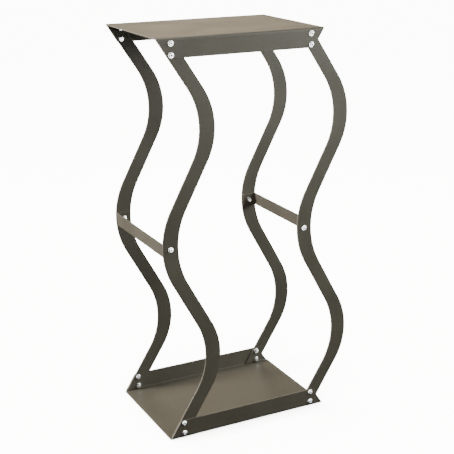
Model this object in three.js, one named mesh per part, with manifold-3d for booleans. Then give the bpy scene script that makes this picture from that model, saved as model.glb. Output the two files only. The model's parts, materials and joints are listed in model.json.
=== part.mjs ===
// Firewood log rack: a folded steel tray on the floor and the same fold turned over as a
// top shelf, held apart by four wavy flat legs, with a folded brace across each side.
// Millimetres. +Z is up, +X is to the right and -Y is to the front. The origin is on the
// floor, under the middle of the tray.
import * as THREE from "three";
import { mergeVertices } from "three/addons/utils/BufferGeometryUtils.js";
import Module from "manifold-3d";

const wasm = await Module();
wasm.setup();

// Overall sizes
const height = 1000;
const trayLength = 440;
const trayDepth = 323;

// Folded sheet of the tray, the shelf and the braces
const sheet = 3;
const foldInside = 2;
const flangeDepth = 47;
const mitre = THREE.MathUtils.degToRad(32.5);

// Legs: flat plates whose two long edges are one wave, set apart sideways
const legPlate = 4;
const legWidth = 40;
const waveDepth = 104;
const bulgeRise = 287.5;
const bulgeRadius = 175;
const straightRun = 126;
const legEdgeInset = 0.5;
const legEndGap = 0.5;

// Braces
const braceHeight = 32;
const tabEndInset = 2;

// Fasteners: flanged button-head bolts with flanged nuts
const boltDiameter = 6;
const boltStandOut = 2.1;
const headFlange = 13.6;
const headFlangeRim = 0.8;
const headDome = 10.5;
const headHeight = 3.3;
const socketAcross = 4;
const socketDepth = 2;
const nutAcross = 10;
const nutFlange = 14.2;
const nutFlangeRim = 1.4;
const nutHeight = 6;
const holeClearance = 0.6;
const threadClearance = 0.4;
const boltFromLegEnd = 7;
const boltFromFlangeEdge = 8;

// Faces that bear on each other stay this far apart
const seatGap = 0.3;

// How finely round stretches are drawn
const foldSteps = 4;
const bendSteps = 12;
const holeSides = 16;
const headSides = 16;
const shankSides = 12;

const powderCoat = { color: 0x4d4a44, roughness: 0.55, metalness: 0.0 };
const zincPlate = { color: 0xd4d6d8, roughness: 0.28, metalness: 1.0 };

// A bolt passes through a sheet, a leg and its nut, and stands out a little past the nut
const boltLength = sheet + legPlate + nutHeight + 3 * seatGap + boltStandOut;

// Heights of the fasteners and of the leg's ends, above the outside of the tray
const legEnd = sheet + foldInside + legEndGap;
const boltLow = legEnd + boltFromLegEnd;
const boltHigh = flangeDepth - boltFromFlangeEdge;

// Length of one fold along the middle of the sheet, and how far the slanted flange end has
// come in at a height above the outside of the tray. The slant is cut in the flat sheet, so
// it starts where the fold starts.
const foldLength = (Math.PI / 2) * (foldInside + sheet / 2);
const cutBackAt = (rise) => (foldLength + rise - sheet - foldInside) * Math.tan(mitre);

// Solids ------------------------------------------------------------------------------

function toSolid(geometry) {
  const bare = geometry.clone();
  bare.deleteAttribute("normal");
  bare.deleteAttribute("uv");
  const merged = mergeVertices(bare, 1e-4);
  const mesh = new wasm.Mesh({
    numProp: 3,
    vertProperties: new Float32Array(merged.attributes.position.array),
    triVerts: new Uint32Array(merged.index.array),
  });
  return new wasm.Manifold(mesh);
}

function toGeometry(solid) {
  const mesh = solid.getMesh();
  const geometry = new THREE.BufferGeometry();
  geometry.setAttribute("position", new THREE.BufferAttribute(mesh.vertProperties, 3));
  geometry.setIndex(new THREE.BufferAttribute(mesh.triVerts, 1));
  return geometry;
}

function cut(body, tools) {
  const solid = tools.reduce((left, tool) => left.subtract(toSolid(tool)), toSolid(body));
  return toGeometry(solid);
}

// A drill runs along Y and is centred where it is put
function drill(diameter, length, x, y, z) {
  const tool = new THREE.CylinderGeometry(diameter / 2, diameter / 2, length, holeSides);
  tool.translate(x, y, z);
  return tool;
}

// A hexagonal bar along +Z from the height given
function hexagon(across, depth, from) {
  const tool = new THREE.CylinderGeometry(across / Math.sqrt(3), across / Math.sqrt(3), depth, 6);
  tool.rotateX(Math.PI / 2);
  tool.translate(0, 0, from + depth / 2);
  return tool;
}

function named(name, geometry, finish) {
  const mesh = new THREE.Mesh(geometry, new THREE.MeshStandardMaterial(finish));
  mesh.name = name;
  return mesh;
}

// Folded channel ------------------------------------------------------------------------
// A strip folded up along both sides: the web's outside lies on z = 0, its two flanges
// rise to z = flange at y = -across / 2 and y = across / 2, and it is cut off along X at
// halfWidth(unrolled distance past the start of the fold).
function foldedChannel(across, flange, halfWidth) {
  const outsideRadius = foldInside + sheet;
  const centreY = across / 2 - outsideRadius;
  const stations = [];
  for (let step = 0; step <= foldSteps; step += 1) {
    const turn = (Math.PI / 2) * (step / foldSteps);
    const sideways = Math.sin(turn);
    const down = Math.cos(turn);
    stations.push({
      unrolled: foldLength * (step / foldSteps),
      outside: [centreY + outsideRadius * sideways, outsideRadius - outsideRadius * down],
      inside: [centreY + foldInside * sideways, outsideRadius - foldInside * down],
    });
  }
  stations.push({
    unrolled: foldLength + flange - outsideRadius,
    outside: [across / 2, flange],
    inside: [across / 2 - sheet, flange],
  });
  const mirrored = stations.map(({ unrolled, outside, inside }) => ({
    unrolled,
    outside: [-outside[0], outside[1]],
    inside: [-inside[0], inside[1]],
  }));
  const profile = [...mirrored.reverse(), ...stations];

  const positions = [];
  for (const { unrolled, outside, inside } of profile) {
    const half = halfWidth(unrolled);
    positions.push(-half, ...outside, half, ...outside, half, ...inside, -half, ...inside);
  }
  const indices = [];
  const quad = (a, b, c, d) => indices.push(a, b, c, a, c, d);
  for (let station = 0; station < profile.length - 1; station += 1) {
    const here = station * 4;
    const next = here + 4;
    for (let corner = 0; corner < 4; corner += 1) {
      const following = (corner + 1) % 4;
      quad(here + corner, next + corner, next + following, here + following);
    }
  }
  const last = (profile.length - 1) * 4;
  quad(0, 1, 2, 3);
  quad(last + 3, last + 2, last + 1, last);

  const geometry = new THREE.BufferGeometry();
  geometry.setAttribute("position", new THREE.Float32BufferAttribute(positions, 3));
  geometry.setIndex(indices);
  return geometry;
}

// Wave of a leg -------------------------------------------------------------------------
// Seen from the front, each edge swings left at mid height and bulges right bulgeRise above
// and below it. Straight runs join the bends, and the radius of the middle bend is what they
// leave it; the ends run straight, parallel to the slanted ends of the flanges.
const runSlant = 2 * Math.atan(waveDepth / (bulgeRise + straightRun));
const bothRadii = (bulgeRise - straightRun * Math.cos(runSlant)) / Math.sin(runSlant);
const middleRadius = bothRadii - bulgeRadius;
const endStart = bulgeRise + bulgeRadius * Math.sin(mitre);
const endReach = height / 2 - legEnd;

// Sideways place of the end run at a distance above or below mid height, from mid height
function endRunAt(rise) {
  const endStartX = waveDepth - bulgeRadius * (1 - Math.cos(mitre));
  return endStartX - (rise - endStart) * Math.tan(mitre);
}

function arcPoints(x, y, radius, from, to) {
  return Array.from({ length: bendSteps + 1 }, (_, step) => {
    const turn = from + (to - from) * (step / bendSteps);
    return new THREE.Vector2(x + radius * Math.cos(turn), y + radius * Math.sin(turn));
  });
}

function waveEdge() {
  const bulgeX = waveDepth - bulgeRadius;
  return [
    new THREE.Vector2(endRunAt(endReach), -endReach),
    ...arcPoints(bulgeX, -bulgeRise, bulgeRadius, -mitre, runSlant),
    ...arcPoints(middleRadius, 0, middleRadius, Math.PI + runSlant, Math.PI - runSlant),
    ...arcPoints(bulgeX, bulgeRise, bulgeRadius, -runSlant, mitre),
    new THREE.Vector2(endRunAt(endReach), endReach),
  ];
}

// Bolt pairs stand in line above each other, where the middle of the leg crosses the middle
// of the flange
const pairMiddle = (boltLow + boltHigh) / 2;
const fixingX = trayLength / 2 - cutBackAt(pairMiddle) - legEdgeInset - legWidth / 2;
const fixingInWave = endRunAt(height / 2 - pairMiddle);
const boltHeights = [boltLow, boltHigh, height / 2, height - boltHigh, height - boltLow];
const boltPlaces = ["foot_lower", "foot_upper", "middle", "top_lower", "top_upper"];

// Sideways place of the swing at mid height, for the legs of the left or the right side
const swingX = (side) => side * fixingX - fixingInWave;

const legOutside = trayDepth / 2 - sheet - seatGap;
const legInside = legOutside - legPlate;

function legGeometry() {
  const shifted = (by) => waveEdge().map((point) => new THREE.Vector2(point.x + by, point.y));
  const outline = new THREE.Shape([...shifted(legWidth / 2), ...shifted(-legWidth / 2).reverse()]);
  const holeRadius = (boltDiameter + holeClearance) / 2;
  for (const bolt of boltHeights) {
    const x = bolt === height / 2 ? 0 : fixingInWave;
    const circle = new THREE.Path();
    circle.absarc(x, bolt - height / 2, holeRadius, 0, 2 * Math.PI, true);
    outline.holes.push(new THREE.Path(circle.getSpacedPoints(holeSides).slice(0, -1)));
  }
  const geometry = new THREE.ExtrudeGeometry(outline, { depth: legPlate, bevelEnabled: false });
  geometry.rotateX(Math.PI / 2);
  geometry.translate(0, legPlate, height / 2);
  return geometry;
}

// Tray and shelf ------------------------------------------------------------------------

function trayGeometry() {
  const halfWidth = (unrolled) => trayLength / 2 - unrolled * Math.tan(mitre);
  const body = foldedChannel(trayDepth, flangeDepth, halfWidth);
  const drills = [];
  for (const y of [-trayDepth / 2, trayDepth / 2]) {
    for (const x of [-fixingX, fixingX]) {
      for (const z of [boltLow, boltHigh]) {
        drills.push(drill(boltDiameter + holeClearance, 4 * sheet, x, y, z));
      }
    }
  }
  return cut(body, drills);
}

// Braces --------------------------------------------------------------------------------
// The web's outside is flush with the outer edge of the legs at mid height, and each tab
// lies on the inner face of a leg.
function braceGeometry() {
  const across = 2 * (legInside - seatGap);
  const body = foldedChannel(across, legWidth - tabEndInset, () => braceHeight / 2);
  const drills = [-across / 2, across / 2].map((y) =>
    drill(boltDiameter + holeClearance, 4 * sheet, 0, y, legWidth / 2));
  return cut(body, drills);
}

// Bolt and nut --------------------------------------------------------------------------
// Both stand on z = 0: the head and the nut rise to +Z, and the shank goes down.
function boltGeometry() {
  const shank = boltDiameter / 2;
  const chamfer = boltDiameter / 10;
  const crown = headDome * 0.3;
  const profile = [
    [0, -boltLength],
    [shank - chamfer, -boltLength],
    [shank, -boltLength + chamfer],
    [shank, 0],
    [headFlange / 2, 0],
    [headFlange / 2, headFlangeRim],
    [headDome / 2, headFlangeRim * 1.4],
    [headDome * 0.42, headHeight * 0.8],
    [crown, headHeight],
    [0, headHeight],
  ];
  const turned = new THREE.LatheGeometry(profile.map(([r, z]) => new THREE.Vector2(r, z)), headSides);
  turned.rotateX(Math.PI / 2);
  return cut(turned, [hexagon(socketAcross, 2 * socketDepth, headHeight - socketDepth)]);
}

function nutGeometry() {
  const flange = new THREE.CylinderGeometry(nutAcross / 2, nutFlange / 2, nutFlangeRim, headSides);
  flange.rotateX(Math.PI / 2);
  flange.translate(0, 0, nutFlangeRim / 2);
  const body = toSolid(flange).add(toSolid(hexagon(nutAcross, nutHeight, 0)));
  const bore = new THREE.CylinderGeometry(1, 1, 4 * nutHeight, shankSides);
  const boreRadius = (boltDiameter + threadClearance) / 2;
  bore.scale(boreRadius, 1, boreRadius);
  bore.rotateX(Math.PI / 2);
  return toGeometry(body.subtract(toSolid(bore)));
}

// Assembly ------------------------------------------------------------------------------

const rack = new THREE.Group();
const tray = trayGeometry();
const brace = braceGeometry();
const leg = legGeometry();
const bolt = boltGeometry();
const nut = nutGeometry();

const baseTray = named("base_tray", tray, powderCoat);
rack.add(baseTray);

const topShelf = named("top_shelf", tray, powderCoat);
topShelf.rotation.x = Math.PI;
topShelf.position.z = height;
rack.add(topShelf);

// Bolt and nut through one hole: face is -1 at the front and 1 at the rear
function addFastener(place, face, x, z, headSeat, nutSeat) {
  const screw = named(`bolt_${place}`, bolt, zincPlate);
  screw.rotation.x = -face * Math.PI / 2;
  screw.position.set(x, face * (headSeat + seatGap), z);
  const holder = named(`nut_${place}`, nut, zincPlate);
  holder.rotation.x = face * Math.PI / 2;
  holder.position.set(x, face * (nutSeat - seatGap), z);
  rack.add(screw, holder);
}

for (const [sideName, side] of [["left", -1], ["right", 1]]) {
  for (const [faceName, face] of [["front", -1], ["rear", 1]]) {
    const corner = `${faceName}_${sideName}`;
    const plate = named(`leg_${corner}`, leg, powderCoat);
    plate.position.x = swingX(side);
    plate.position.y = face < 0 ? -legOutside : legInside;
    rack.add(plate);
    boltHeights.forEach((z, index) => {
      const atBrace = boltPlaces[index] === "middle";
      const x = atBrace ? swingX(side) : side * fixingX;
      const headSeat = atBrace ? legOutside : trayDepth / 2;
      const nutSeat = atBrace ? legInside - seatGap - sheet : legInside;
      addFastener(`${corner}_${boltPlaces[index]}`, face, x, z, headSeat, nutSeat);
    });
  }
  const strap = named(`brace_${sideName}`, brace, powderCoat);
  strap.rotation.y = -side * Math.PI / 2;
  strap.position.set(swingX(side) + side * legWidth / 2, 0, height / 2);
  rack.add(strap);
}

export default rack;
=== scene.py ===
import json
import bmesh
import bpy
import numpy as np
from mathutils import Matrix, Vector

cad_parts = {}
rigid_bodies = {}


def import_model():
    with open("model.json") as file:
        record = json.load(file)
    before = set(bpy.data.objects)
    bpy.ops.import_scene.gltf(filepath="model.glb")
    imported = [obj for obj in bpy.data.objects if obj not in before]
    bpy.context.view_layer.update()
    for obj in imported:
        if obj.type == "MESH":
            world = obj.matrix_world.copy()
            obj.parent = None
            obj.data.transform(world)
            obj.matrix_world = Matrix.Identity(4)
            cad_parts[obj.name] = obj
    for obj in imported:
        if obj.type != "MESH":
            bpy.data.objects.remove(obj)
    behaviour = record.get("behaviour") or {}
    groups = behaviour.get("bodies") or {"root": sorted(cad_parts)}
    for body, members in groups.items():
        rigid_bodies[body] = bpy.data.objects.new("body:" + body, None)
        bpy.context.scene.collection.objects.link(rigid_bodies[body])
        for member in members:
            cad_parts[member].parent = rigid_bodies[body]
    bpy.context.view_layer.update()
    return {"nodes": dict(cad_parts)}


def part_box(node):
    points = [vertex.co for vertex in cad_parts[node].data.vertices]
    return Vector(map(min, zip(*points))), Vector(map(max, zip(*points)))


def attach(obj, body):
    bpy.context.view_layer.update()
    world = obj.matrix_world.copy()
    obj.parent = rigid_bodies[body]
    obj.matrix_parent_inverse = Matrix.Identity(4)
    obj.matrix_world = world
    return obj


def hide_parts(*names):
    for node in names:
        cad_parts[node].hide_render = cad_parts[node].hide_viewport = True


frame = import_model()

mm = 0.001
seed = np.random.default_rng(11)   # only turns each bolt and nut on its own axis


# sRGB hex to the linear colour that a shader takes
def toLinear(code):
    value = np.array([int(code[i:i + 2], 16) for i in (1, 3, 5)]) / 255
    linear = np.where(value <= 0.04045, value / 12.92, ((value + 0.055) / 1.055) ** 2.4)
    return (*linear.tolist(), 1)


# Adds one node: links takes a socket or a plain value for each named input
def addNode(tree, kind, links=None, **settings):
    node = tree.nodes.new(kind)
    for name, value in settings.items():
        setattr(node, name, value)
    for socket, value in (links or {}).items():
        if isinstance(value, bpy.types.NodeSocket):
            tree.links.new(value, node.inputs[socket])
        else:
            node.inputs[socket].default_value = value
    return node


# Polyester powder coat, sprayed dry on steel sheet and baked: satin charcoal with a soft orange peel,
# a little thinner and paler where it pulls back from a laser-cut edge
coat = {"tone": "#4d4940", "toneThick": "#46423a", "edge": "#645f56", "roughness": (0.40, 0.50),
        "ior": 1.5,
        "peel": 4.5 * mm,      # real orange peel is 1 to 2 mm across, drawn coarser so that it shows
        "peelDepth": 0.03 * mm,
        "cloud": 120 * mm,     # film thickness drifts over a hand's width
        "fleck": 2.2 * mm}     # real texture grit is 0.1 mm, drawn coarser so that it shows

# Bright zinc plate, tumbled in a barrel and blue passivated: silvery, with a faint mottle in its gloss
zinc = {"tone": "#dfe1e2", "toneDull": "#cacccd", "roughness": (0.22, 0.36),
        "bare": "#1d1d1c",     # painted shade: the socket's walls and bottom are painted near black for the shade deep in the recess
        "mottle": 2.5 * mm,    # zinc spangle of a barrel-plated screw
        "grain": 0.6 * mm, "grainDepth": 0.01 * mm}


def makePowderCoat():
    material = bpy.data.materials.new("powderCoatCharcoal")
    material.use_nodes = True
    tree = material.node_tree
    shader = tree.nodes["Principled BSDF"]
    place = addNode(tree, "ShaderNodeTexCoord").outputs["Object"]
    cloud = addNode(tree, "ShaderNodeTexNoise", {"Vector": place, "Scale": 1 / coat["cloud"], "Detail": 3.0})
    fleck = addNode(tree, "ShaderNodeTexNoise", {"Vector": place, "Scale": 1 / coat["fleck"], "Detail": 1.0})
    peel = addNode(tree, "ShaderNodeTexNoise", {"Vector": place, "Scale": 1 / coat["peel"], "Detail": 2.0})
    blend = addNode(tree, "ShaderNodeMath", {0: cloud.outputs["Fac"], 1: fleck.outputs["Fac"]},
                    operation="MULTIPLY")
    spread = addNode(tree, "ShaderNodeMapRange", {"Value": blend.outputs[0],
                                                  "From Min": 0.15, "From Max": 0.38})
    film = addNode(tree, "ShaderNodeMix", {"Factor": spread.outputs[0], 6: toLinear(coat["toneThick"]),
                                           7: toLinear(coat["tone"])}, data_type="RGBA")
    rim = addNode(tree, "ShaderNodeAttribute", attribute_name="rim")
    worn = addNode(tree, "ShaderNodeMapRange", {"Value": peel.outputs["Fac"], "From Min": 0.3,
                                                "From Max": 0.6, "To Min": 0.35, "To Max": 1.0})
    thin = addNode(tree, "ShaderNodeMath", {0: rim.outputs["Fac"], 1: worn.outputs[0]}, operation="MULTIPLY")
    colour = addNode(tree, "ShaderNodeMix", {"Factor": thin.outputs[0], 6: film.outputs[2],
                                             7: toLinear(coat["edge"])}, data_type="RGBA")
    tree.links.new(colour.outputs[2], shader.inputs["Base Color"])
    smoothest, roughest = coat["roughness"]
    satin = addNode(tree, "ShaderNodeMapRange", {"Value": cloud.outputs["Fac"], "From Min": 0.3,
                                                 "From Max": 0.7, "To Min": smoothest, "To Max": roughest})
    tree.links.new(satin.outputs[0], shader.inputs["Roughness"])
    shader.inputs["IOR"].default_value = coat["ior"]
    bump = addNode(tree, "ShaderNodeBump", {"Height": peel.outputs["Fac"], "Strength": 1.0,
                                            "Distance": coat["peelDepth"]})
    tree.links.new(bump.outputs[0], shader.inputs["Normal"])
    return material


def makeZincPlate():
    material = bpy.data.materials.new("zincPlateBright")
    material.use_nodes = True
    tree = material.node_tree
    shader = tree.nodes["Principled BSDF"]
    place = addNode(tree, "ShaderNodeTexCoord").outputs["Object"]
    mottle = addNode(tree, "ShaderNodeTexVoronoi", {"Vector": place, "Scale": 1 / zinc["mottle"]},
                     feature="SMOOTH_F1")
    grain = addNode(tree, "ShaderNodeTexNoise", {"Vector": place, "Scale": 1 / zinc["grain"], "Detail": 2.0})
    colour = addNode(tree, "ShaderNodeMix", {"Factor": mottle.outputs["Distance"], 6: toLinear(zinc["tone"]),
                                             7: toLinear(zinc["toneDull"])}, data_type="RGBA")
    # The socket's rings take the near-black colour: painted shade for the dark recess
    socketShadeMask = addNode(tree, "ShaderNodeAttribute", attribute_name="rim")
    zincWithSocketShade = addNode(tree, "ShaderNodeMix", {"Factor": socketShadeMask.outputs["Fac"], 6: colour.outputs[2],
                                             7: toLinear(zinc["bare"])}, data_type="RGBA")
    tree.links.new(zincWithSocketShade.outputs[2], shader.inputs["Base Color"])
    smoothest, roughest = zinc["roughness"]
    gloss = addNode(tree, "ShaderNodeMapRange", {"Value": mottle.outputs["Distance"],
                                                 "To Min": smoothest, "To Max": roughest})
    tree.links.new(gloss.outputs[0], shader.inputs["Roughness"])
    shader.inputs["Metallic"].default_value = 1.0
    bump = addNode(tree, "ShaderNodeBump", {"Height": grain.outputs["Fac"], "Strength": 1.0,
                                            "Distance": zinc["grainDepth"]})
    tree.links.new(bump.outputs[0], shader.inputs["Normal"])
    return material


finishes = {"powder_coat": makePowderCoat(), "zinc_plate": makeZincPlate()}
print("stage: materials")


# Quads of a grid, row after row; a closed grid joins its last column to its first
def gridFaces(rows, columns, closed=False):
    row = np.arange(rows - 1)[:, None] * columns
    column = np.arange(columns if closed else columns - 1)[None, :]
    following = (column + 1) % columns
    corners = [row + column, row + following, row + columns + following, row + columns + column]
    quads = [np.broadcast_to(corner, (rows - 1, column.size)) for corner in corners]
    return np.stack(quads, -1).reshape(-1, 4)


# A block of a flat blank between two parameters, as a plain grid: place(u, v) gives its points
def plainBlock(us, vs, place):
    v, u = np.meshgrid(vs, us, indexing="ij")
    return place(u.ravel(), v.ravel()), gridFaces(len(vs), len(us))


# The same block with a round hole. Its points lie on lines from the block's rim to the hole: a point is
# the hole's rim blended with the block's rim, both seen in the same direction from the hole's middle
def holedBlock(us, vs, place, middle, radius):
    u = np.concatenate([us[:-1], np.full(len(vs) - 1, us[-1]), us[:0:-1], np.full(len(vs) - 1, us[0])])
    v = np.concatenate([np.full(len(us) - 1, vs[0]), vs[:-1], np.full(len(us) - 1, vs[-1]), vs[:0:-1]])
    outer = place(u, v)
    ray = outer - middle
    inner = middle + radius * ray / np.linalg.norm(ray, axis=1, keepdims=True)
    share = np.array([0, 0.08, 0.4, 0.7, 1])[:, None, None]
    points = (outer * (1 - share) + inner * share).reshape(-1, 2)
    return points, gridFaces(len(share), len(u), closed=True)


# Puts blocks together as one list of points and one of faces
def joinBlocks(blocks):
    starts = np.cumsum([0] + [len(points) for points, faces in blocks[:-1]])
    return (np.concatenate([points for points, faces in blocks]),
            np.concatenate([faces + start for (points, faces), start in zip(blocks, starts)]))


# Welds points and faces into one piece. For the material, rim is 1 on cut edges and in a bolt's socket, where
# it marks the painted socket shade, and 0 elsewhere
def makePiece(name, points, faces, finish, node, rim=None, smoothBelow=None):
    mesh = bpy.data.meshes.new(name)
    mesh.from_pydata(points.tolist(), [], faces.tolist())
    if rim is not None:
        mesh.attributes.new("rim", "FLOAT", "POINT").data.foreach_set("value", rim.astype(np.float32))
    welded = bmesh.new()
    welded.from_mesh(mesh)
    bmesh.ops.remove_doubles(welded, verts=welded.verts, dist=0.002 * mm)
    welded.to_mesh(mesh)
    welded.free()
    mesh.polygons.foreach_set("use_smooth", np.ones(len(mesh.polygons), bool))
    if smoothBelow:
        mesh.set_sharp_from_angle(angle=np.radians(smoothBelow))
    mesh.materials.append(finishes[finish])
    obj = bpy.data.objects.new(name, mesh)
    bpy.context.scene.collection.objects.link(obj)
    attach(obj, "root")
    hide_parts(node)
    return obj


# Gives an outside skin its thickness inwards, then breaks its edges as a tumbled laser cut is
def thicken(obj, thickness, softness):
    wall = obj.modifiers.new("wall", "SOLIDIFY")
    wall.thickness = thickness
    wall.offset = -1
    wall.use_even_offset = True
    edge = obj.modifiers.new("edge", "BEVEL")
    edge.width = softness
    edge.segments = 3
    edge.limit_method = "ANGLE"
    edge.angle_limit = np.radians(40)
    edge.harden_normals = True


def middleOf(node):
    low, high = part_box(node)
    return (Vector(low) + Vector(high)) / 2


folded = {"sheet": 3 * mm, "foldInside": 2 * mm, "mitre": 32.5, "hole": 6.6 * mm, "edge": 0.5 * mm,
          "blockInset": 14 * mm, "foldSteps": 12, "sliver": 0.01 * mm}
outsideRadius = folded["foldInside"] + folded["sheet"]
foldLength = np.pi / 2 * (folded["foldInside"] + folded["sheet"] / 2)   # along the middle of the sheet


# Outside of a folded strip. s runs over the flat blank from the middle of the web: the web lies flat, the
# fold turns a quarter circle of the outside radius, and the flange stands straight up from it
def foldUp(points, across):
    x, s = points.T
    webHalf = across / 2 - outsideRadius
    past = np.abs(s) - webHalf
    turn = np.clip(past / foldLength, 0, 1) * np.pi / 2
    y = np.sign(s) * (np.minimum(np.abs(s), webHalf) + outsideRadius * np.sin(turn))
    z = outsideRadius * (1 - np.cos(turn)) + np.maximum(past - foldLength, 0)
    return np.stack([x, y, z], -1)


# Half length of a tray over its flat blank: whole over the web, then cut back at the mitre from the fold on
def trayHalfAt(s, half, across):
    pastWeb = np.maximum(np.abs(s) - (across / 2 - outsideRadius), 0)
    return half - pastWeb * np.tan(np.radians(folded["mitre"]))


# A tray's flat blank: rows of blocks from tip to tip, each with an end block left and right. In the flanges
# an end block has a bolt hole
def trayBlank(half, across, flange, boltX, boltRises):
    webHalf = across / 2 - outsideRadius
    flatAt = webHalf + foldLength - outsideRadius      # where rise 0 would be if the flange had no fold
    tip, between = flatAt + flange, flatAt + sum(boltRises) / 2
    blockX = boltX - folded["blockInset"]
    cutSide = np.array([0, 0.3, 0.55, 0.75, 0.94, 1])  # one line close to the cut edge, for its thin film
    foldLines = np.linspace(webHalf, webHalf + foldLength, folded["foldSteps"] + 1)
    upper = [(foldLines, None), (np.linspace(foldLines[-1], between, 7), boltRises[0]),
             (between + (tip - between) * cutSide, boltRises[1])]
    rows = [(-lines[::-1], rise and -rise) for lines, rise in upper[::-1]]
    rows += [(np.linspace(-webHalf, webHalf, 41), None)] + upper
    blocks = []
    for vs, rise in rows:
        blocks.append(plainBlock(np.linspace(-blockX, blockX, 41), vs, lambda u, v: np.stack([u, v], -1)))
        for side in (-1, 1):
            us = np.sort(side * cutSide)
            place = lambda u, v: np.stack([side * blockX + u * (trayHalfAt(v, half, across) - blockX), v], -1)
            if rise is None:
                blocks.append(plainBlock(us, vs, place))
            else:
                middle = np.array([side * boltX, np.sign(rise) * (flatAt + abs(rise))])
                blocks.append(holedBlock(us, vs, place, middle, folded["hole"] / 2))
    flat, faces = joinBlocks(blocks)
    x, s = np.abs(flat.T)
    return flat, faces, (x > trayHalfAt(s, half, across) - folded["sliver"]) | (s > tip - folded["sliver"])


def makeTray(name, node, bolts, turned):
    low, high = (Vector(corner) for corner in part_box(node))
    size = high - low
    rises = sorted(abs(middleOf(bolt).z - (high.z if turned else low.z)) for bolt in bolts)
    flat, faces, rim = trayBlank(size.x / 2, size.y, size.z, abs(middleOf(bolts[0]).x), rises)
    x, y, z = foldUp(flat, size.y).T
    points = np.stack([x, -y, high.z - z] if turned else [x, y, low.z + z], -1)
    piece = makePiece(name, points, faces[:, ::-1], "powder_coat", node, rim)
    thicken(piece, folded["sheet"], folded["edge"])


makeTray("folded_tray", "base_tray", ["bolt_front_left_foot_lower", "bolt_front_left_foot_upper"], False)
makeTray("folded_shelf", "top_shelf", ["bolt_front_left_top_lower", "bolt_front_left_top_upper"], True)
print("stage: tray and shelf")


# A brace is the same fold with square ends and one hole in each tab. Its web stands upright
def makeBrace(name, node, side):
    low, high = (Vector(corner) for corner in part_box(node))
    size = high - low
    webHalf = size.y / 2 - outsideRadius
    flatAt = webHalf + foldLength - outsideRadius
    tip = flatAt + size.x
    inwards = 1 if side == "left" else -1
    web = low.x if side == "left" else high.x
    hole = flatAt + abs(middleOf(f"bolt_front_{side}_middle").x - web)
    us = np.array([-1, -0.93, -0.5, 0, 0.5, 0.93, 1])
    place = lambda u, v: np.stack([u * size.z / 2, v], -1)
    foldLines = np.linspace(webHalf, webHalf + foldLength, folded["foldSteps"] + 1)
    tab = foldLines[-1] + (tip - foldLines[-1]) * np.array([0, 0.2, 0.4, 0.6, 0.8, 0.97, 1])
    radius = folded["hole"] / 2
    blocks = [holedBlock(us, -tab[::-1], place, np.array([0, -hole]), radius),
              plainBlock(us, -foldLines[::-1], place),
              plainBlock(us, np.linspace(-webHalf, webHalf, 41), place),
              plainBlock(us, foldLines, place), holedBlock(us, tab, place, np.array([0, hole]), radius)]
    flat, faces = joinBlocks(blocks)
    rim = (np.abs(flat[:, 0]) > size.z / 2 - folded["sliver"]) | (np.abs(flat[:, 1]) > tip - folded["sliver"])
    x, y, z = foldUp(flat, size.y).T
    points = np.stack([web + inwards * z, y, (low.z + high.z) / 2 - inwards * x], -1)
    piece = makePiece(name, points, faces[:, ::-1], "powder_coat", node, rim)
    thicken(piece, folded["sheet"], folded["edge"])


for side in ("left", "right"):
    makeBrace(f"side_brace_{side}", f"brace_{side}", side)
print("stage: braces")


legShape = {"plate": 4 * mm, "width": 40 * mm, "bulgeRise": 287.5 * mm, "bulgeRadius": 175 * mm,
            "straightRun": 126 * mm, "mitre": 32.5, "hole": 6.6 * mm, "edge": 0.6 * mm, "step": 4 * mm,
            "blockAbove": 17 * mm}


# Sideways place of the wave at a height from the middle of the leg. The middle bend and the two bulges are
# circle arcs, x = centre -/+ root of (radius squared - height squared), straight runs join them, and the
# ends run straight on at the mitre
def wave(rise, depth):
    rise = np.abs(rise)
    bulge, run = legShape["bulgeRise"], legShape["straightRun"]
    slant = 2 * np.arctan(depth / (bulge + run))
    bulgeRadius = legShape["bulgeRadius"]
    middleRadius = (bulge - run * np.cos(slant)) / np.sin(slant) - bulgeRadius
    mitre = np.radians(legShape["mitre"])
    bendEnd = middleRadius * np.sin(slant)
    bulgeStart = bulge - bulgeRadius * np.sin(slant)
    bulgeEnd = bulge + bulgeRadius * np.sin(mitre)
    middleBend = middleRadius - np.sqrt(np.maximum(middleRadius ** 2 - rise ** 2, 0))
    straight = middleRadius * (1 - np.cos(slant)) + (rise - bendEnd) * np.tan(slant)
    bulgeBend = depth - bulgeRadius + np.sqrt(np.maximum(bulgeRadius ** 2 - (rise - bulge) ** 2, 0))
    end = depth - bulgeRadius * (1 - np.cos(mitre)) - (rise - bulgeEnd) * np.tan(mitre)
    return np.select([rise < bendEnd, rise < bulgeStart, rise < bulgeEnd],
                     [middleBend, straight, bulgeBend], end)


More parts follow.
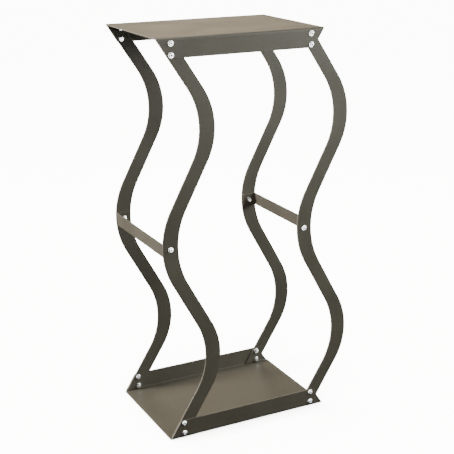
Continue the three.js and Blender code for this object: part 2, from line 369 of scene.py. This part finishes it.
# A leg is swept up the wave: x is the wave's place plus a share of half the width, at every height
def makeLeg(name, node, corner):
    low, high = (Vector(point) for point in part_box(node))
    depth, half = high.x - low.x - legShape["width"], legShape["width"] / 2
    reach, middleZ = (high.z - low.z) / 2, (low.z + high.z) / 2
    line = lambda rise: low.x + half + wave(rise, depth)
    holes = [middleOf(f"bolt_{corner}_{place}") for place in
             ("foot_lower", "foot_upper", "middle", "top_lower", "top_upper")]
    rises = [hole.z - middleZ for hole in holes]
    between, beyond = (rises[0] + rises[1]) / 2, rises[1] + legShape["blockAbove"]
    lines = [-reach, between, beyond, -half, half, -beyond, -between, reach]
    holeIn = {0: 0, 1: 1, 3: 2, 5: 3, 6: 4}
    us = np.array([-1, -0.93, -0.5, 0, 0.5, 0.93, 1])
    place = lambda u, v: np.stack([line(v) + u * half, v], -1)
    blocks = []
    for row, (start, end) in enumerate(zip(lines[:-1], lines[1:])):
        vs = np.linspace(start, end, max(6, round((end - start) / legShape["step"])) + 1)
        if row in holeIn:
            middle = np.array([holes[holeIn[row]].x, rises[holeIn[row]]])
            blocks.append(holedBlock(us, vs, place, middle, legShape["hole"] / 2))
        else:
            blocks.append(plainBlock(us, vs, place))
    flat, faces = joinBlocks(blocks)
    x, rise = flat.T
    rim = (np.abs(x - line(rise)) > half - folded["sliver"]) | (np.abs(rise) > reach - folded["sliver"])
    front = corner.startswith("front")
    points = np.stack([x, np.full_like(x, low.y if front else high.y), middleZ + rise], -1)
    piece = makePiece(name, points, faces if front else faces[:, ::-1], "powder_coat", node, rim)
    thicken(piece, legShape["plate"], legShape["edge"])


for corner in ("front_left", "rear_left", "front_right", "rear_right"):
    makeLeg(f"wave_leg_{corner}", f"leg_{corner}", corner)
print("stage: legs")


bolt = {"thread": 6 * mm, "pitch": 1 * mm, "threadDepth": 0.55 * mm, "runIn": 0.3 * mm, "runOut": 0.4 * mm,
        "collar": 13.6 * mm, "collarRim": 0.8 * mm, "socketCone": 0.3 * mm, "soft": 0.12 * mm,
        "dome": 10.5 * mm, "height": 3.3 * mm, "crown": 3.15 * mm, "socket": 4 * mm, "socketDepth": 2 * mm,
        "sides": 48}
nut = {"across": 10 * mm, "flange": 14.2 * mm, "flangeRim": 0.6 * mm, "skirt": 2.1 * mm, "height": 6 * mm,
       "bore": 6.4 * mm, "sides": 72}


# Radius of a hexagon in a direction, from its distance across flats
def hexRadius(turn, across):
    return across / 2 / np.cos((turn + np.pi / 6) % (np.pi / 3) - np.pi / 6)


# Sets a turned part down on its seat: it rises along the axis away from the rack's middle or towards it
def setDown(radius, rise, turn, axis, seat, outward):
    points = np.stack([axis.x + radius * np.cos(turn), np.broadcast_to(seat + outward * rise, radius.shape),
                       axis.z - outward * radius * np.sin(turn)], -1)
    return points.reshape(-1, 3)


# A button-head bolt is one turned profile from the bottom of its socket to the end of its thread. A ring
# is round, or a hexagon in the socket; in the thread its radius dips by a triangle wave that climbs one
# pitch a turn
def makeBolt(name, node):
    low, high = (Vector(corner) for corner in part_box(node))
    axis, outward = (low + high) / 2, -1 if "front" in node else 1
    seat = low.y + bolt["height"] if outward < 0 else high.y - bolt["height"]
    length = high.y - low.y - bolt["height"]
    top, half, bottom = bolt["height"], bolt["thread"] / 2, bolt["height"] - bolt["socketDepth"]
    socket, rim, collar = bolt["socket"] / 2, bolt["collarRim"], bolt["collar"] / 2
    sweep = np.linspace(0, np.pi / 2, 9)
    dome = bolt["dome"] / 2
    cone, soft = bolt["socketCone"], bolt["soft"]
    head = np.array([(0, bottom - cone, 0), (0.9 * socket, bottom, 1), (socket, bottom + 0.1 * mm, 1),
                     (socket, top - cone, 1), (socket * 1.05, top - soft, 0.8),
                     (socket * 1.22, top, 0)])
    button = np.stack([bolt["crown"] + (dome - bolt["crown"]) * np.sin(sweep),
                       rim * 1.5 + (top - rim * 1.5) * np.cos(sweep), 0 * sweep], -1)
    skirt = np.array([(dome + 0.15 * mm, rim * 1.2, 0), (dome + 0.5 * mm, rim * 1.08, 0),
                      (collar - 0.25 * mm, rim, 0), (collar - 0.07 * mm, rim - 0.07 * mm, 0),
                      (collar, rim - 0.25 * mm, 0), (collar, soft, 0), (collar - soft, 0, 0),
                      (half + 0.1 * mm, 0, 0), (half, -0.1 * mm, 0)])
    climb = np.arange(0.4 * mm, length - 0.7 * mm, bolt["pitch"] / 6)
    shank = np.stack([np.full_like(climb, half), -climb, 0 * climb], -1)
    tip = np.array([(half * 0.93, -length + 0.5 * mm, 0), (half * 0.76, -length, 0), (0, -length, 0)])
    profile = np.concatenate([head, button, skirt, shank, tip])
    turn = np.linspace(0, 2 * np.pi, bolt["sides"], endpoint=False)[None, :]
    radius, rise, hexed = (column[:, None] for column in profile.T)
    ring = radius * (1 - hexed) + hexRadius(turn, 2 * radius) * hexed
    phase = (rise / bolt["pitch"] + turn / (2 * np.pi)) % 1
    dip = bolt["threadDepth"] * np.abs(2 * phase - 1)
    grow = np.clip((-rise - bolt["runIn"]) / bolt["pitch"], 0, 1)
    shrink = np.clip((rise + length - bolt["runOut"]) / bolt["pitch"], 0, 1)
    ring = ring - dip * (grow * shrink)
    points = setDown(ring, rise, turn + seed.uniform(0, np.pi / 3), axis, seat, outward)
    faces = gridFaces(len(profile), bolt["sides"], closed=True)
    socketShadeMask = np.repeat(np.arange(len(profile)) < 5, bolt["sides"])     # the socket's own rings, painted near black as painted shade
    makePiece(name, points, faces[:, ::-1], "zinc_plate", node, socketShadeMask, smoothBelow=35)


# A flanged nut is one turned profile, where the outside is the wider of the flange's cone and the hexagon,
# and the hexagon's corners are cut by a cone at the top
def makeNut(name, node):
    low, high = (Vector(corner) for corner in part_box(node))
    axis, outward = (low + high) / 2, 1 if "front" in node else -1
    seat = low.y if outward > 0 else high.y
    top, bore, flange = nut["height"], nut["bore"] / 2, nut["flange"] / 2
    climb = np.concatenate([[0, 0.12, 0.3, nut["flangeRim"] / mm - 0.1, nut["flangeRim"] / mm],
                            np.linspace(0.8, 2.6, 10), np.linspace(3.2, 5.2, 4), np.linspace(5.3, 6, 7)]) * mm
    turn = np.linspace(0, 2 * np.pi, nut["sides"], endpoint=False)[None, :]
    rise = climb[:, None]
    cone = np.interp(rise, np.array([0, 0.12, nut["flangeRim"] / mm - 0.12, nut["flangeRim"] / mm,
                                     nut["skirt"] / mm, 6]) * mm,
                     [flange - 0.12 * mm, flange, flange, flange - 0.12 * mm, nut["across"] / 2, 0])
    cap = np.interp(rise, [5.3 * mm, top], [nut["across"] * 0.585, nut["across"] * 0.475])
    outside = np.maximum(np.minimum(hexRadius(turn, nut["across"]), cap), cone)
    inside = np.array([bore + 0.5 * mm, bore, bore, bore + 0.3 * mm])[:, None]
    ring = np.concatenate([outside, np.broadcast_to(inside, (4, nut["sides"]))])
    rises = np.concatenate([rise, np.array([top, top - 0.5 * mm, 0.3 * mm, 0])[:, None]])
    ring, rises = np.concatenate([ring, ring[:1]]), np.concatenate([rises, rises[:1]])
    points = setDown(ring, rises, turn + seed.uniform(0, np.pi / 3), axis, seat, outward)
    faces = gridFaces(len(rises), nut["sides"], closed=True)
    makePiece(name, points, faces, "zinc_plate", node, smoothBelow=30)


for node in sorted(frame["nodes"]):
    if node.startswith("bolt_"):
        makeBolt(node.replace("bolt_", "button_bolt_"), node)
    if node.startswith("nut_"):
        makeNut(node.replace("nut_", "flange_nut_"), node)
print("stage: bolts and nuts")


# Powers in watts and sizes in metres. A lamp has its own tint or the warm one, and a lamp with "only" lights
# just the pieces whose names hold one of those words
stage = {"floor": "#f4f3f1", "reach": 30, "dim": 0.022, "backdrop": 14.0, "wash": 44, "washSpread": 110,
         "warm": "#fffdf5"}
lights = {"leftBack": {"place": (-2.3, 0.7, 1.3), "aim": (0, 0, 0.7), "size": 0.9, "power": 193},
          "rightFront": {"place": (2.2, -0.9, 1.3), "aim": (0, 0, 0.6), "size": 1.0, "power": 62,
                         "tint": "#f6fcf6"},
          "frontRight": {"place": (1.7, -2.0, 1.4), "aim": (0, 0, 0.6), "size": 1.2, "power": 39,
                         "tint": "#f6fcf6"},
          "front": {"place": (-0.2, -2.8, 1.0), "aim": (0, 0, 0.6), "size": 1.2, "power": 21},
          "frontHigh": {"place": (-0.4, -2.2, 2.2), "aim": (0, 0, 0.6), "size": 0.9, "power": 11},
          "backHigh": {"place": (0.9, 2.2, 1.9), "aim": (0, 0, 0.8), "size": 1.6, "power": 12,
                       "tint": "#ffeac8"},
          "top": {"place": (0.1, 0, 2.2), "aim": (0, 0, 0.9), "size": 1.0, "power": 16},
          "leftHigh": {"place": (-1.7, -0.3, 2.3), "aim": (0, 0, 0.8), "size": 1.0, "power": 9},
          "card": {"place": (0.8, -2.2, 0.1), "aim": (0, 0, 0.1), "size": 2.0, "power": 110,
                   "tint": "#ffffff", "only": ("_bolt_", "_nut_")}}
camera = {"place": (-1.1484, -2.4615, 1.3233), "azimuth": -29.48, "elevation": 18.43, "roll": 0.03,
          "lens": 86.8, "shift": (-0.1612, 0.0517)}


# The floor is pale and matt, and isn't seen by the rack, so that it throws no light back up on it
def makeFloor():
    reach = stage["reach"]
    mesh = bpy.data.meshes.new("floor")
    corners = [(-reach, -reach, 0), (reach, -reach, 0), (reach, reach, 0), (-reach, reach, 0)]
    mesh.from_pydata(corners, [], [(0, 1, 2, 3)])
    material = bpy.data.materials.new("paleStudioFloor")
    material.use_nodes = True
    shader = material.node_tree.nodes["Principled BSDF"]
    shader.inputs["Base Color"].default_value = toLinear(stage["floor"])
    shader.inputs["Roughness"].default_value = 0.9
    mesh.materials.append(material)
    obj = bpy.data.objects.new("floor", mesh)
    bpy.context.scene.collection.objects.link(obj)
    obj.visible_diffuse = obj.visible_glossy = False


# Keeps a lamp's light to the pieces whose names hold one of the words
def lightOnly(lamp, words):
    receivers = bpy.data.collections.new(lamp.name + "Receives")
    for obj in bpy.data.objects:
        if obj.type == "MESH" and any(word in obj.name for word in words):
            receivers.objects.link(obj)
    lamp.light_linking.receiver_collection = receivers


def addLamp(name, kind, place, aim, power):
    data = bpy.data.lights.new(name, kind)
    data.energy = power
    obj = bpy.data.objects.new(name, data)
    obj.location = place
    obj.rotation_euler = (Vector(aim) - Vector(place)).to_track_quat("-Z", "Y").to_euler()
    bpy.context.scene.collection.objects.link(obj)
    return obj


def makeLights():
    for name, lamp in lights.items():
        obj = addLamp(name, "AREA", lamp["place"], lamp["aim"], lamp["power"])
        obj.data.shape, obj.data.size = "DISK", lamp["size"]
        obj.data.color = toLinear(lamp.get("tint", stage["warm"]))[:3]
        if "only" in lamp:
            lightOnly(obj, lamp["only"])
    wash = addLamp("wash", "SUN", (0, 0, 3), (0, 0, 0), stage["wash"])
    wash.data.angle = np.radians(stage["washSpread"])
    lightOnly(wash, ("floor",))


# The rack sees a dim studio all round, and behind it stands a white backdrop
def makeWorld():
    world = bpy.data.worlds.new("studio")
    bpy.context.scene.world = world
    world.use_nodes = True
    tree = world.node_tree
    dim = tree.nodes["Background"]
    dim.inputs["Color"].default_value = (1, 1, 1, 1)
    dim.inputs["Strength"].default_value = stage["dim"]
    backdrop = addNode(tree, "ShaderNodeBackground", {"Color": (1, 1, 1, 1), "Strength": stage["backdrop"]})
    seen = addNode(tree, "ShaderNodeLightPath").outputs["Is Camera Ray"]
    both = addNode(tree, "ShaderNodeMixShader", {0: seen, 1: dim.outputs[0], 2: backdrop.outputs[0]})
    tree.links.new(both.outputs[0], tree.nodes["World Output"].inputs["Surface"])


def makeCamera():
    data = bpy.data.cameras.new("camera")
    data.sensor_width = 36
    data.lens = camera["lens"]
    data.shift_x, data.shift_y = camera["shift"]
    obj = bpy.data.objects.new("camera", data)
    bpy.context.scene.collection.objects.link(obj)
    azimuth, elevation, roll = np.radians([camera["azimuth"], camera["elevation"], camera["roll"]])
    back = Vector((np.sin(azimuth) * np.cos(elevation), -np.cos(azimuth) * np.cos(elevation),
                   np.sin(elevation)))
    turn = (-back).to_track_quat("-Z", "Y").to_matrix() @ Matrix.Rotation(roll, 3, "Z")
    obj.matrix_world = Matrix.Translation(camera["place"]) @ turn.to_4x4()
    bpy.context.scene.camera = obj


makeFloor()
makeLights()
makeWorld()
makeCamera()
print("stage: floor, lights and camera")
